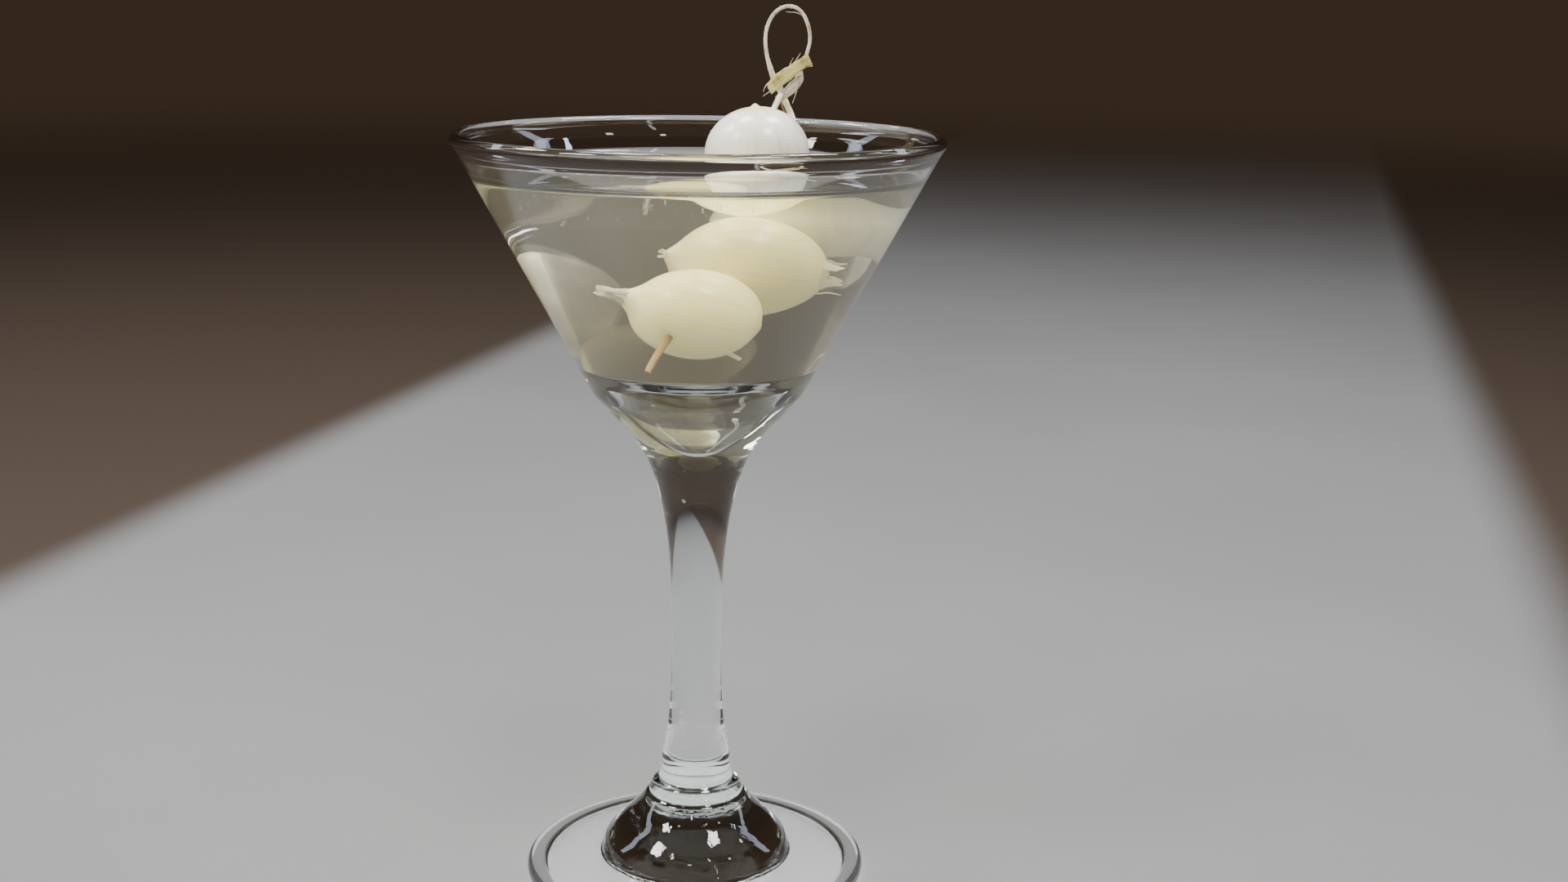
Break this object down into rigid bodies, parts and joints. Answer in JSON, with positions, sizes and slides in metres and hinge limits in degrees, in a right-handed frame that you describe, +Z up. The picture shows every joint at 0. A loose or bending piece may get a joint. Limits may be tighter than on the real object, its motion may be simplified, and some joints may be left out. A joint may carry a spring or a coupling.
{
  "type": "martini glass",
  "caption": "Stemmed martini glass holding a pale clear drink and cocktail onions skewered on a knotted bamboo pick that lifts out.",
  "frame": {"origin": "on the glass's axis, on the surface that the foot stands on", "axes": "+Z up along the glass's axis, +Y to the back of the bowl that the pick leans against, +X to the right seen from the front"},
  "size_m": [0.115, 0.115, 0.2114],
  "materials": {
    "clear_glass": "polished",
    "drink": "polished",
    "onion": "satin",
    "bamboo": "matte"
  },
  "bodies": {
    "glass": {"bowl": "clear_glass", "stem": "clear_glass", "foot": "clear_glass", "drink": "drink"},
    "pick": {"pick_shaft": "bamboo", "pick_knot": "bamboo", "pick_loop": "bamboo", "pick_tail": "bamboo"},
    "onion_top": {"onion_top": "onion"},
    "onion_middle": {"onion_middle": "onion"},
    "onion_lower": {"onion_lower": "onion"}
  },
  "joints": [
    {"name": "garnish_lift", "type": "slide", "parent": "glass", "child": "pick", "axis": [0, 0, 1], "range_m": [0, 0.07], "deforming": ["drink"]},
    {"name": "onion_top_slide", "type": "slide", "parent": "pick", "child": "onion_top", "axis": [-0.3173, -0.7584, -0.5694], "range_m": [0, 0.008]},
    {"name": "onion_middle_slide", "type": "slide", "parent": "pick", "child": "onion_middle", "axis": [-0.3173, -0.7584, -0.5694], "range_m": [0, 0.008]},
    {"name": "onion_lower_slide", "type": "slide", "parent": "pick", "child": "onion_lower", "axis": [-0.3173, -0.7584, -0.5694], "range_m": [0, 0.008]}
  ],
  "couplings": [
    {"joint": "onion_middle_slide", "follows": "onion_top_slide", "ratio": 1},
    {"joint": "onion_lower_slide", "follows": "onion_top_slide", "ratio": 1}
  ]
}
